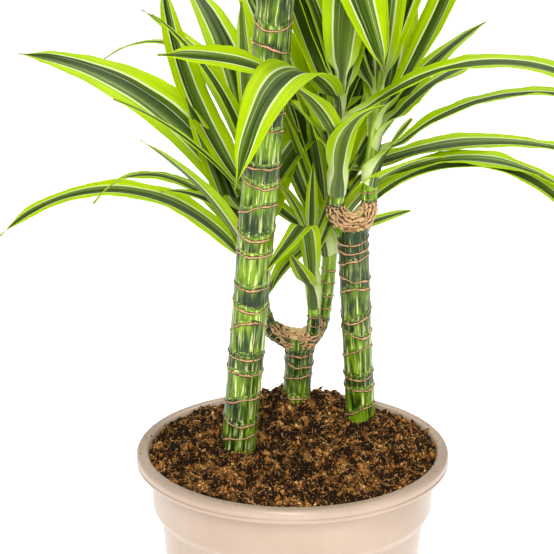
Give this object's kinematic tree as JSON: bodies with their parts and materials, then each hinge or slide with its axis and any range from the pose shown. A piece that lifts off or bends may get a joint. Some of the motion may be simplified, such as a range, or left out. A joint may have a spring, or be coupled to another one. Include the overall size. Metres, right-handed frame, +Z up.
{
  "type": "potted dracaena",
  "caption": "Dracaena with bare upright canes of stepped heights, leafy variegated shoots and long arching leaves, rooted in soil in a plain tapered nursery pot.",
  "frame": {"origin": "centre of the pot's underside, on the floor it stands on", "axes": "+Z up along the pot's axis and the plant's height; -Y is the near side, so +X is to a viewer's right"},
  "size_m": [0.5505, 0.5529, 0.967],
  "materials": {
    "pot": "satin moulded taupe plastic",
    "soil": "loose dark brown peat with fibres and crumbs",
    "cane": "smooth glossy green bark with pale streaks and thin tan leaf scars",
    "shoot": "smooth young green stem with pale sheath bases and a tan corky collar",
    "leaf": "satin leaf, lime yellow margins, white lines and a dark green striped centre"
  },
  "bodies": {
    "root": {"cane_rear": "cane", "cane_right": "cane", "cane_tall": "cane", "leaf_rear_front_arch": "leaf", "leaf_rear_front_near": "leaf", "leaf_rear_front_sheath": "leaf", "leaf_rear_front_side": "leaf", "leaf_rear_front_under_arch": "leaf", "leaf_rear_left_back_high": "leaf", "leaf_rear_left_back_thin": "leaf", "leaf_rear_left_broad": "leaf", "leaf_rear_left_low_arch": "leaf", "leaf_rear_left_low_short": "leaf", "leaf_rear_left_spear": "leaf", "leaf_rear_left_under": "leaf", "leaf_rear_left_upright": "leaf", "leaf_rear_tall_away": "leaf", "leaf_rear_tall_hanging": "leaf", "leaf_rear_tall_left_low": "leaf", "leaf_rear_tall_left_up": "leaf", "leaf_rear_tall_near_up": "leaf", "leaf_rear_tall_right_level": "leaf", "leaf_rear_tall_right_low": "leaf", "leaf_rear_tall_right_mid": "leaf", "leaf_rear_tall_right_tip": "leaf", "leaf_right_left_across_cane": "leaf", "leaf_right_left_back_left": "leaf", "leaf_right_left_bent_over": "leaf", "leaf_right_left_left_high": "leaf", "leaf_right_left_left_wavy": "leaf", "leaf_right_left_long_right": "leaf", "leaf_right_left_low_sheath": "leaf", "leaf_right_left_over_cane": "leaf", "leaf_right_right_back": "leaf", "leaf_right_right_back_right": "leaf", "leaf_right_right_broad_up": "leaf", "leaf_right_right_low_sheath": "leaf", "leaf_right_right_right_arch": "leaf", "leaf_right_right_right_far": "leaf", "leaf_right_right_right_up": "leaf", "leaf_tall_left_five": "leaf", "leaf_tall_left_four": "leaf", "leaf_tall_left_one": "leaf", "leaf_tall_left_three": "leaf", "leaf_tall_left_two": "leaf", "leaf_tall_right_five": "leaf", "leaf_tall_right_four": "leaf", "leaf_tall_right_one": "leaf", "leaf_tall_right_three": "leaf", "leaf_tall_right_two": "leaf", "pot": "pot", "shoot_rear_front": "shoot", "shoot_rear_left": "shoot", "shoot_rear_tall": "shoot", "shoot_right_left": "shoot", "shoot_right_right": "shoot", "shoot_tall_left": "shoot", "shoot_tall_right": "shoot", "soil": "soil", "soil_heap": "soil"}
  },
  "joints": []
}
